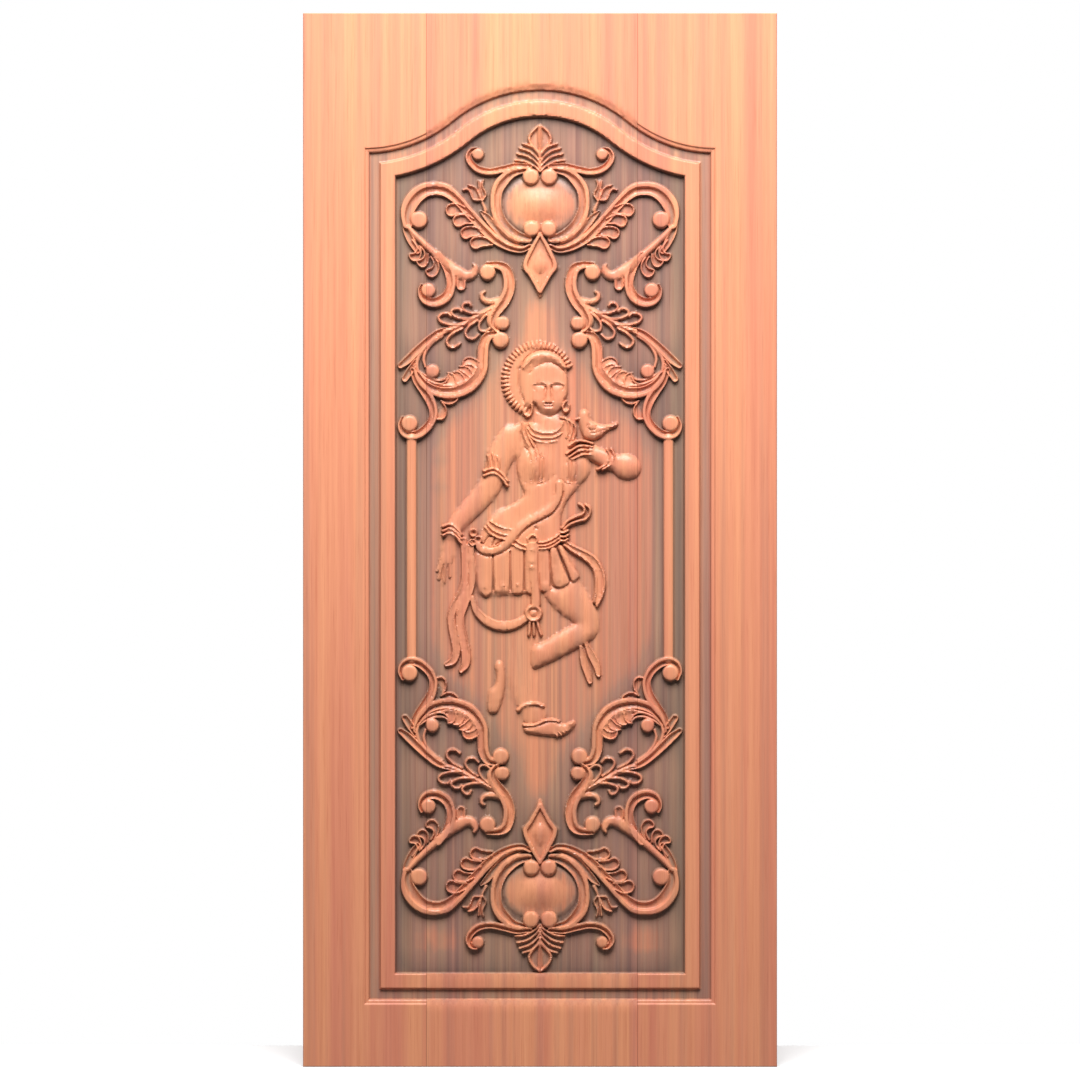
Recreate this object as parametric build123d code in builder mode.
"""Carved solid-teak main-door leaf.

Three boards are edge-glued with tongues and grooves. Their front carries one carved field: an ogee-arched
moulding round a sunk ground, scrollwork repeated in four mirrored quarters and a dancing figure between.

Frame: origin at the middle of the bottom edge, X across the leaf, Z up, the carved face towards -Y.
Lengths are millimetres. Names ending in _px hold points of the carving drawing, whose x runs right and
y runs down; a third number is the half-width of a stem there. Names ending in _share are ratios.
"""

import os
from math import atan2, cos, pi, sin, sqrt

from build123d import *

# The leaf and its boards.
leaf_width = 914.0
leaf_height = 2032.0
leaf_thickness = 45.0
left_board_width = 238.0
centre_board_width = 407.0
arris = 1.5
tongue_thickness = 11.0
tongue_length = 10.0
groove_slack = 1.0

# The plain border round the moulding, and the arch of the moulding's outer edge.
stile_width = 119.0
bottom_rail = 121.0
top_rail = 139.0
arch_rise = 121.5
crown_radius = 272.0

# The moulding, as widths counted inwards from its outer edge and depths below the leaf's face.
ledge_width = 8.5
channel_width = 21.5
band_width = 31.0
step_run = 2.0
wall_run = 4.0
channel_depth = 9.5
band_depth = 3.0
ground_depth = 14.0

# How far the carving stands above the sunk ground, and how far it is rooted below it.
root_depth = 2.0
scroll_rise = 9.5
eye_rise = 10.5
leaf_rise = 7.0
boss_rise = 12.0
pendant_rise = 10.5
finial_rise = 8.5
rod_rise = 8.0
hair_rise = 6.5
head_rise = 12.0
trunk_rise = 7.5
breast_rise = 9.8
limb_rise = 10.0
small_rise = 7.5
cloth_rise = 9.0
trim_rise = 11.0
hand_rise = 4.0
faint_rise = 2.2

# How far each kind of carving draws in from foot to crown. A rounded mass does so in two steps.
scroll_slope = 4.0
leaf_slope = 3.2
eye_slope = 6.0
finial_slope = 6.0
pendant_slope = 11.0
boss_slope = 30.0
rod_slope = 7.5
hair_slope = 7.0
head_slope = 26.0
neck_slope = 13.0
trunk_slope = 16.0
breast_slope = 32.0
limb_slope = 12.0
small_slope = 4.5
faint_slope = 7.0
round_shares = ((0.3, 0.62), (1.0, 1.0))
eye_sides = 8
oval_sides = 14

# The carving drawing: its axis, its middle and the extent of the ground it fills.
axis_px = 541.5
middle_px = 548.5
ground_width_px = 287.0
ground_top_px = 116.6
ground_bottom_px = 973.0

# One quarter of the scrollwork, top left.
scrolls_px = (
    # Ring round the boss.
    ((526, 169.5, 2.5), (514, 172.5, 4.5), (504, 181, 6.3), (498.5, 191, 6.3), (497.5, 205, 6.1),
     (500, 216, 6.2), (505, 225, 6.2), (512, 232, 6.0), (520, 236.5, 5.3), (531, 239, 3.0)),
    # Arm curling up beside the finial.
    ((531, 166, 2.6), (518, 165.8, 3.4), (505, 169, 3.5), (492, 171.2, 3.4), (480, 169, 3.4),
     (472, 162, 3.3), (469.5, 155, 3.0), (473, 148.8, 2.6)),
    # Great C-scroll and its stem.
    ((407.5, 220, 4.5), (410.5, 206, 7.8), (418, 195.3, 8.2), (427, 189.5, 7.6), (437, 188, 7.0),
     (446.5, 189.5, 6.9), (454.5, 194.8, 5.9), (461.8, 201.8, 5.1), (478, 220.3, 5.1), (495, 237.8, 4.8),
     (505, 244.3, 3.8), (515, 248.5, 3.2), (530, 247, 2.6)),
    # Band falling from the C-scroll, and the diagonal stem with its curled end.
    ((406.5, 224, 3.6), (410, 234, 4.3), (415, 244, 4.3), (420, 252, 3.2)),
    ((411, 228, 3.0), (424, 241.5, 4.0), (444, 259, 4.5), (455, 267.5, 5.2), (464, 273, 5.5),
     (472, 275, 5.5), (478, 267, 2.6)),
    # Small scroll under the diagonal.
    ((443, 259, 4.0), (450, 271, 5.2), (452.5, 284.5, 4.7), (449.5, 294, 5.3), (443.5, 299.5, 5.3),
     (436, 302, 5.0), (429, 301, 4.3), (423.5, 297, 3.5), (421.8, 289, 2.6)),
    # Hooked band of the middle group, and its side hook.
    ((489, 263.5, 2.6), (499, 264.5, 3.8), (507, 269, 5.2), (510.5, 279.5, 6.0), (510, 290, 6.0),
     (504.5, 302, 6.0), (497, 312.5, 5.2), (493.5, 321, 3.2), (497, 330, 2.6)),
    ((501, 300, 3.2), (492, 301, 3.2), (485, 299.5, 3.0), (482.5, 293, 2.6)),
    # Great S-stem.
    ((497, 333.5, 2.6), (487.5, 338, 5.0), (484.5, 347, 5.8), (484.3, 357, 5.8), (483.5, 368, 5.5),
     (479, 378, 6.0), (471.5, 385.5, 6.5), (460, 390.5, 6.8), (448, 392, 6.6), (437, 390, 6.0),
     (427, 384.5, 5.0), (419.5, 376, 3.5), (417, 366, 2.6)),
    # Bottom scroll, which sits on the rod.
    ((416, 374, 3.2), (421.5, 385.5, 4.5), (428.5, 394, 4.8), (433.5, 404, 4.8), (435, 413, 4.4),
     (432.5, 422, 4.3), (427, 429, 4.5), (419.5, 434, 4.6), (411, 435.5, 4.2), (404.5, 432, 3.5),
     (402, 425, 3.0), (405, 417.5, 2.6)),
)
leaves_px = (
    # Lobes along the stem of the C-scroll.
    ((465, 209.5, 3.0), (457, 209, 5.0), (448.5, 210, 3.4)),
    ((473, 221, 3.0), (463.5, 220, 5.0), (455.5, 221, 3.4)),
    ((481, 232.5, 3.0), (471, 231.5, 5.2), (463, 232.5, 3.4)),
    ((492, 242.5, 3.0), (481, 241.8, 5.2), (472.5, 243, 3.4)),
    # Long leaf between stem and ring, and the tulip bud above it.
    ((481.5, 210, 0), (487.5, 215.5, 4.0), (495, 226.5, 3.2), (504, 236.5, 2.4), (516, 243.5, 0)),
    ((486.5, 208, 0), (481.5, 198, 3.4), (472.5, 189.5, 3.4), (464, 189, 0)),
    ((486, 201, 2.2), (487, 192, 2.8), (484.5, 180.5, 0)),
    # Lobes under the falling band.
    ((419.5, 251.5, 3.0), (412.5, 257, 3.6)),
    ((422, 249.5, 2.6), (426, 257, 3.2), (424, 266.5, 2.4)),
    ((437, 257.5, 2.4), (440, 266, 3.0), (437.5, 273, 3.4), (429, 275, 3.0)),
    # Bud under the curled end.
    ((462.5, 277, 5.0), (462.5, 289, 5.6)),
    # Acanthus: vein, upper lobes, lower lobes.
    ((499, 303, 3.0), (478, 316, 3.2), (457, 327, 3.4), (447, 330, 2.4)),
    ((482, 313.5, 2.4), (471, 311.5, 4.0), (465, 304.5, 2.6)),
    ((473, 319, 2.4), (461, 317, 4.0), (454, 310.5, 2.6)),
    ((462, 325, 2.4), (450, 322.5, 4.0), (442, 316, 2.6)),
    ((490, 312, 2.4), (482.5, 321, 4.0), (484, 331, 2.8)),
    ((478, 320, 2.4), (470, 329.5, 4.2), (473, 338, 2.8)),
    ((462, 329, 2.4), (452.5, 337, 4.2), (455, 346, 2.8)),
    # Long leaf sweeping out, its lower tip and the band nested inside it.
    ((450, 329.5, 2.6), (438, 334, 3.4), (427, 342.5, 3.8), (416, 354, 4.4), (406, 363, 3.8),
     (399, 367, 0)),
    ((417, 361, 2.6), (411, 371.5, 4.5), (404, 381, 2.6)),
    ((446, 333, 2.4), (434, 341, 3.0), (425.5, 350.5, 3.2), (422, 361, 3.0), (423, 370, 2.4)),
    # Scallops inside the S-stem, and the two lobes under it.
    ((481, 364, 3.4), (467, 363.5, 4.2)),
    ((475, 372.5, 3.2), (464, 371, 4.2)),
    ((466, 381, 3.0), (456, 376, 4.4)),
    ((456, 385, 2.6), (449.5, 378, 3.6)),
    ((440, 400, 2.4), (449, 401.5, 3.8), (459.5, 399.5, 2.4)),
    ((441, 404, 2.6), (445, 412, 4.4), (440.5, 420, 2.4)),
)
# Eyes of the volutes, as middle and radius.
eyes_px = (
    (532.5, 176.5, 8.7), (533, 228.5, 8.5), (479.5, 153.8, 6.3), (420.5, 219.5, 9.0), (430, 290, 7.5),
    (489, 272, 8.5), (504, 323, 7.0), (502, 340, 8.5), (434, 371, 7.0), (411, 423.5, 8.5),
)
rod_px = (413.0, 440.0, 5.5)

# The crest on the axis: half outlines, from top to bottom.
finial_px = ((541.5, 124), (535, 129.5), (530, 136), (529, 142), (535.5, 147.5), (541.5, 155))
fan_px = ((541.5, 146), (530, 141.5), (522, 146), (517.5, 156), (515, 163), (527, 166.5), (541.5, 170))
pendant_px = ((541.5, 232), (533.5, 245), (524, 266.5), (534, 280.5), (541.5, 297))
fan_blades_px = (
    ((541, 158, 2.2), (533, 149, 2.2), (525.5, 143, 0)),
    ((541, 163, 2.2), (532, 153.5, 2.2), (520, 149.5, 0)),
    ((541, 167, 2.2), (530, 159.5, 2.2), (517.5, 157, 0)),
)
boss_px = (541.5, 205.0, 36.5, 27.5)

# The figure: outlines of its masses, then ovals, stems and trimmings.
hair_px = (
    (521, 411), (509.5, 396), (505, 380), (509, 362), (520, 349), (536, 343), (551, 343), (563, 350),
    (570, 362),
    (569, 384), (545, 402),
)
trunk_px = (
    (536, 421), (564, 422), (577, 432), (587, 446), (591.5, 462), (589, 477), (579, 491), (569, 506),
    (562.5, 522),
    (563, 541), (552, 555), (520, 556), (488, 549), (484, 532), (491, 519), (506, 508), (526, 497),
    (522, 483),
    (518, 461), (513, 447), (512, 429),
)
skirt_px = (
    (484, 545), (558, 545), (567, 552), (579, 580), (562, 589), (547, 592), (537, 602), (519, 595),
    (503, 594),
    (488, 598), (479, 584), (477, 556),
)
standing_leg_px = (
    (500, 626), (533, 626), (536, 664), (541, 688), (547, 706), (520, 708), (511, 678), (506, 655),
)
limbs_px = (
    # Arm on the left, from the shoulder.
    ((514, 427.5), (523, 433), (523, 445), (517, 458), (511.5, 467), (506.5, 480), (499, 493), (483, 512),
     (466, 533), (456, 540), (446, 533), (449, 525), (463, 506), (479, 486), (486, 471), (489, 457),
     (495, 443), (503, 432)),
    # Arm on the right, from the finger tips round the elbow.
    ((566, 448), (573, 441), (589, 440), (601, 446), (613, 454), (623, 452.5), (634, 456), (641, 464),
     (640, 472),
     (633, 479), (621, 479), (611, 471), (595, 464), (584, 460), (570, 459)),
    # Raised leg.
    ((549, 585), (577, 577), (587, 588), (596, 604), (600.5, 620), (599, 633), (590, 643), (574, 651),
     (556, 661),
     (541, 668), (533.5, 666), (532, 652), (539, 643), (555, 631), (574, 622.5), (561, 613), (551, 603)),
)
smalls_px = (
    # Standing foot, the foot hanging behind, and the bird.
    ((521, 713), (528, 706), (544, 707), (548, 719), (576, 721), (577, 728), (568, 736), (552, 738),
     (527, 733)),
    ((501, 661.5), (506, 667), (506, 681), (511, 691), (504, 708), (494, 717.5), (488, 710), (489, 697),
     (497, 687),
     (496.5, 668)),
    ((580.5, 424), (580.5, 413), (585.5, 408.5), (591, 413), (593, 420), (605, 424), (619.5, 420.5),
     (619, 427),
     (603, 437), (592, 440.5), (584, 436)),
)
head_px = (550.0, 387.5, 20.5, 28.5)
breasts_px = ((539.5, 465, 26, 24), (575, 468.5, 17.5, 18))
neck_px = ((549, 404, 10), (548, 434, 13))
hand_px = ((453, 534, 5.5), (449, 550, 6.5), (445, 563, 4.5), (441, 579, 0))
garments_px = (
    # Panels of the skirt.
    ((486, 553, 7), (486, 578, 8.2), (488.5, 597, 3.6)),
    ((502.5, 553, 7.2), (503, 578, 8), (503, 593, 4)),
    ((518.5, 555, 6.6), (519, 578, 7), (519.5, 594, 3.6)),
    ((533, 549, 5.2), (535, 576, 5), (537.5, 605, 4)),
    ((546, 554, 4.6), (546.5, 578, 5), (547, 592, 3)),
    ((556, 551, 4.6), (560, 570, 8), (562, 588, 4.2)),
    ((565, 551, 2.6), (572, 567, 4.6), (578, 580, 2.6)),
    # Sash across the body, ribbons and the swag below the skirt.
    ((564, 483, 4), (562, 497, 4), (555, 508.5, 4), (532, 523.5, 4), (508, 544.5, 4), (495, 551, 4),
     (479, 547, 3)),
    ((565, 532, 3), (571, 523.5, 3), (589, 517.5, 3), (592.5, 510, 3), (584, 503.5, 2)),
    ((567, 541, 4), (580, 549, 5), (592, 556.5, 5), (602, 568, 5), (604, 582, 5), (596.5, 605, 3)),
    ((474, 594, 3.6), (478, 610, 4.5), (488, 621, 4.5), (502, 626, 4.5), (516, 625, 4.5), (529, 617, 3.4)),
    ((465, 545, 4), (467, 561, 4.4), (465.5, 582, 4.4), (455, 613, 4.4), (457, 633, 4.4), (461, 650, 4.4),
     (451, 665, 2.4)),
    ((473, 545, 4), (475, 563, 4.4), (474.5, 582, 4.4), (464.5, 613, 4.4), (466, 633, 4.4), (471, 662, 4.4),
     (465, 679, 2.4)),
    ((582, 649, 3.4), (587, 665, 3.6), (592, 683, 2.4)),
    ((589, 645, 3.4), (596, 660, 3.6), (601, 676, 2.4)),
    # Tassel under the medallion.
    ((537, 620, 3.6), (537, 636, 7)),
)
trimmings_px = (
    # Diadem, hair beside the face, necklace, armlet, bracelets and anklets.
    ((523, 372, 2.6), (528, 361, 3), (540, 354, 3), (550, 352, 3), (560, 357, 3), (569, 369, 2.6)),
    ((522, 372, 2.6), (522, 388, 3), (526.5, 402, 2.6)),
    ((528, 423, 2.4), (537, 434.5, 2.8), (550, 439, 2.8), (562, 434.5, 2.8), (566.5, 425, 2.4)),
    ((486, 472, 4), (509, 481, 4)),
    ((444, 526, 4.6), (462, 538, 4.6)),
    ((609, 453, 4.4), (608, 471, 4.4)),
    ((519, 709, 2.4), (531, 704.5, 2.6), (546, 705, 2.4)),
    ((523, 726, 2.6), (535, 724.5, 2.8), (547, 721, 2.8), (561, 720, 2.2)),
    # Girdle.
    ((487, 523, 4), (500, 531, 4.6), (514, 541, 4.6), (528, 546, 4.6), (542, 547, 4.6), (554, 544, 4.6),
     (564, 537, 4)),
)
studs_px = ((529, 411.5, 6.2), (567, 409.5, 4.4), (535, 613, 8.8), (565, 537, 6.5))

# Derived places.
half_thickness = leaf_thickness / 2
moulding_width = ledge_width + channel_width + band_width
outer_half_width = leaf_width / 2 - stile_width
arch_top = leaf_height - top_rail
shoulder_height = arch_top - arch_rise
sweep_radius = (outer_half_width**2 + arch_rise**2) / (2 * arch_rise) - crown_radius
arch_angle = atan2(outer_half_width, crown_radius + sweep_radius - arch_rise)
ground_width = 2 * (outer_half_width - moulding_width)
ground_bottom = bottom_rail + moulding_width
ground_height = arch_top - moulding_width - ground_bottom
across = ground_width / ground_width_px
upwards = ground_height / (ground_bottom_px - ground_top_px)
carving_middle = ground_bottom + (ground_bottom_px - middle_px) * upwards
first_seam = left_board_width - leaf_width / 2
second_seam = first_seam + centre_board_width
right_board_width = leaf_width - left_board_width - centre_board_width
tongue_middle = ground_depth / 2

face = Plane(origin=(0, -half_thickness, 0), x_dir=(1, 0, 0), z_dir=(0, -1, 0))
ground = Plane(origin=(0, ground_depth - half_thickness, carving_middle), x_dir=(1, 0, 0), z_dir=(0, -1, 0))


def at(x_px, y_px):
    """A point of the carving drawing, on the ground plane."""
    return Vector((x_px - axis_px) * across, (middle_px - y_px) * upwards)


def field(inset):
    """The arch-topped field within an edge moved inwards from the moulding's outer edge."""
    half = outer_half_width - inset
    crown = crown_radius - inset
    sweep = sweep_radius + inset
    crown_centre = arch_top - crown_radius
    sweep_centre = shoulder_height + sweep_radius
    turn = Vector(crown * sin(arch_angle), crown_centre + crown * cos(arch_angle))
    corner = Vector(half, sweep_centre - sqrt(sweep**2 - inset**2))
    lean = (arch_angle + atan2(inset, sweep_centre - corner.Y)) / 2
    middle = Vector(outer_half_width - sweep * sin(lean), sweep_centre - sweep * cos(lean))
    foot = Vector(half, bottom_rail + inset)
    with BuildSketch() as area:
        with BuildLine():
            Line((-foot.X, foot.Y), foot)
            Line(foot, corner)
            ThreePointArc(corner, middle, turn)
            ThreePointArc(turn, (0, crown_centre + crown), (-turn.X, turn.Y))
            ThreePointArc((-turn.X, turn.Y), (-middle.X, middle.Y), (-corner.X, corner.Y))
            Line((-corner.X, corner.Y), (-foot.X, foot.Y))
        make_face()
    return area.sketch


def through(sections):
    """A solid through flat outlines at heights above the ground, with plane facets between them."""
    rings = []
    for outline, height in sections:
        level = ground.offset(height)
        rings.append([level.from_local_coords(point) for point in outline])
    facets = [Face(Wire.make_polygon(rings[0])), Face(Wire.make_polygon(rings[-1]))]
    for low, high in zip(rings, rings[1:]):
        for i in range(len(low)):
            facets.append(Face(Wire.make_polygon([low[i - 1], low[i], high[i], high[i - 1]])))
    return Solid(Shell(facets))


def inset(outline, distance):
    """A clockwise outline moved inwards, each side staying parallel to itself."""
    sides = [(after - before).normalized() for before, after in zip(outline, outline[1:] + outline[:1])]
    inward = [Vector(side.Y, -side.X) for side in sides]
    corners = []
    for i, corner in enumerate(outline):
        both = inward[i - 1] + inward[i]
        corners.append(corner + both * (distance / (1 + inward[i - 1].dot(inward[i]))))
    return corners


def sloped(outline, rise, slope):
    """A mass with plain sloping sides and a flat crown."""
    return through([(outline, -root_depth), (inset(outline, slope), rise)])


def rounded(outline, rise, slope):
    """A mass whose sides steepen towards the ground."""
    sections = [(outline, -root_depth)]
    for run_share, rise_share in round_shares:
        sections.append((inset(outline, slope * run_share), rise * rise_share))
    return through(sections)


def stem(points_px):
    """Both sides of a stem whose half-width follows its line, to a point where that is zero."""
    line = [at(x, y) for x, y, _ in points_px]
    left, right = [], []
    for i, (_, _, half_px) in enumerate(points_px):
        along = line[min(i + 1, len(line) - 1)] - line[max(i - 1, 0)]
        side = Vector(-along.Y, along.X).normalized() * (half_px * across)
        left.append(line[i] + side)
        if half_px > 0:
            right.append(line[i] - side)
    return left + right[::-1]


def drawn(points_px):
    """Corners of an outline of the carving drawing."""
    return [at(x, y) for x, y in points_px]


def oval(x_px, y_px, half_width_px, half_height_px, sides):
    """Corners of a many-sided oval."""
    turns = [2 * pi * i / sides for i in range(sides)]
    return [at(x_px + half_width_px * sin(turn), y_px - half_height_px * cos(turn)) for turn in turns]


def disc(x_px, y_px, radius_px):
    """Corners of the eye of a volute, or of a stud."""
    return oval(x_px, y_px, radius_px, radius_px, eye_sides)


def both_halves(half_px):
    """A closed outline from its left half, which starts and ends on the axis."""
    right_px = [(2 * axis_px - x, y) for x, y in half_px[1:-1]]
    return [at(x, y) for x, y in [half_px[0], *right_px, *half_px[:0:-1]]]


# Scrollwork: one quarter and the crest's left half, mirrored to the right and then below.
with BuildPart() as scrollwork:
    add([sloped(stem(points), scroll_rise, scroll_slope) for points in scrolls_px])
    add([sloped(stem(points), leaf_rise, leaf_slope) for points in leaves_px])
    add([sloped(stem(points), finial_rise, leaf_slope) for points in fan_blades_px])
    add([sloped(disc(*eye_px), eye_rise, eye_slope) for eye_px in eyes_px])
    mirror(about=Plane.YZ)
    add(sloped(both_halves(finial_px), finial_rise, finial_slope))
    add(sloped(both_halves(fan_px), leaf_rise, leaf_slope))
    add(rounded(both_halves(pendant_px), pendant_rise, pendant_slope))
    add(rounded(oval(*boss_px, 2 * eye_sides), boss_rise, boss_slope))
    mirror(about=Plane.XY.offset(carving_middle))

# Rods joining the upper and lower scrollwork at the sides.
rod_x, rod_top, rod_half = rod_px
rod_line_px = ((rod_x, rod_top, rod_half), (rod_x, 2 * middle_px - rod_top, rod_half))
with BuildPart() as rods:
    add(rounded(stem(rod_line_px), rod_rise, rod_slope))
    mirror(about=Plane.YZ)

# The figure.
with BuildPart() as figure:
    add(sloped(drawn(standing_leg_px), faint_rise, faint_slope))
    add(sloped(drawn(hair_px), hair_rise, hair_slope))
    add(sloped(stem(hand_px), hand_rise, leaf_slope))
    add(rounded(stem(neck_px), trunk_rise, neck_slope))
    add(rounded(drawn(trunk_px), trunk_rise, trunk_slope))
    add(sloped(drawn(skirt_px), leaf_rise, leaf_slope))
    add([rounded(drawn(limb_px), limb_rise, limb_slope) for limb_px in limbs_px])
    add([rounded(drawn(small_px), small_rise, small_slope) for small_px in smalls_px])
    add([rounded(oval(*breast_px, oval_sides), breast_rise, breast_slope) for breast_px in breasts_px])
    add(rounded(oval(*head_px, oval_sides), head_rise, head_slope))
    add([sloped(stem(points), cloth_rise, leaf_slope) for points in garments_px])
    add([sloped(stem(points), trim_rise, leaf_slope) for points in trimmings_px])
    add([sloped(disc(*stud_px), trim_rise, eye_slope) for stud_px in studs_px])

# The whole leaf before it is divided: slab, moulding, sunk ground and carving.
with BuildPart() as leaf:
    with BuildSketch(Plane.XY):
        Rectangle(leaf_width, leaf_thickness)
    extrude(amount=leaf_height)
    chamfer(leaf.edges(), arris)
    with BuildSketch(face):
        add(field(0))
    with BuildSketch(face.offset(-band_depth)):
        add(field(step_run))
    loft(ruled=True, mode=Mode.SUBTRACT)
    with BuildSketch(face.offset(-band_depth)):
        add(field(ledge_width))
    with BuildSketch(face.offset(-channel_depth)):
        add(field(ledge_width + step_run))
    loft(ruled=True, mode=Mode.SUBTRACT)
    with BuildSketch(face.offset(-channel_depth)):
        add(field(ledge_width + channel_width - step_run))
    with BuildSketch(face.offset(-band_depth)):
        add(field(ledge_width + channel_width))
    loft(ruled=True)
    with BuildSketch(face.offset(-band_depth)):
        add(field(moulding_width - wall_run))
    with BuildSketch(face.offset(-ground_depth)):
        add(field(moulding_width))
    loft(ruled=True, mode=Mode.SUBTRACT)
    add([scrollwork.part, rods.part, figure.part])

# Boards: the leaf divided at the two seams, with a tongue on each edge of the centre board.
with BuildPart() as left_board:
    with BuildSketch(Plane.XY):
        with Locations((first_seam - left_board_width / 2, 0)):
            Rectangle(left_board_width, leaf_thickness)
        with Locations((first_seam, tongue_middle)):
            Rectangle(2 * (tongue_length + groove_slack), tongue_thickness, mode=Mode.SUBTRACT)
    extrude(amount=leaf_height)
    add(leaf.part, mode=Mode.INTERSECT)
left_board.part.label = "left_board"

with BuildPart() as centre_board:
    with BuildSketch(Plane.XY):
        with Locations((first_seam + centre_board_width / 2, 0)):
            Rectangle(centre_board_width, leaf_thickness)
        with Locations((first_seam + centre_board_width / 2, tongue_middle)):
            Rectangle(centre_board_width + 2 * tongue_length, tongue_thickness)
    extrude(amount=leaf_height)
    add(leaf.part, mode=Mode.INTERSECT)
centre_board.part.label = "centre_board"

with BuildPart() as right_board:
    with BuildSketch(Plane.XY):
        with Locations((second_seam + right_board_width / 2, 0)):
            Rectangle(right_board_width, leaf_thickness)
        with Locations((second_seam, tongue_middle)):
            Rectangle(2 * (tongue_length + groove_slack), tongue_thickness, mode=Mode.SUBTRACT)
    extrude(amount=leaf_height)
    add(leaf.part, mode=Mode.INTERSECT)
right_board.part.label = "right_board"

os.makedirs("parts", exist_ok=True)
export_step(left_board.part, "parts/left_board.step", write_pcurves=False)
export_step(centre_board.part, "parts/centre_board.step", write_pcurves=False)
export_step(right_board.part, "parts/right_board.step", write_pcurves=False)
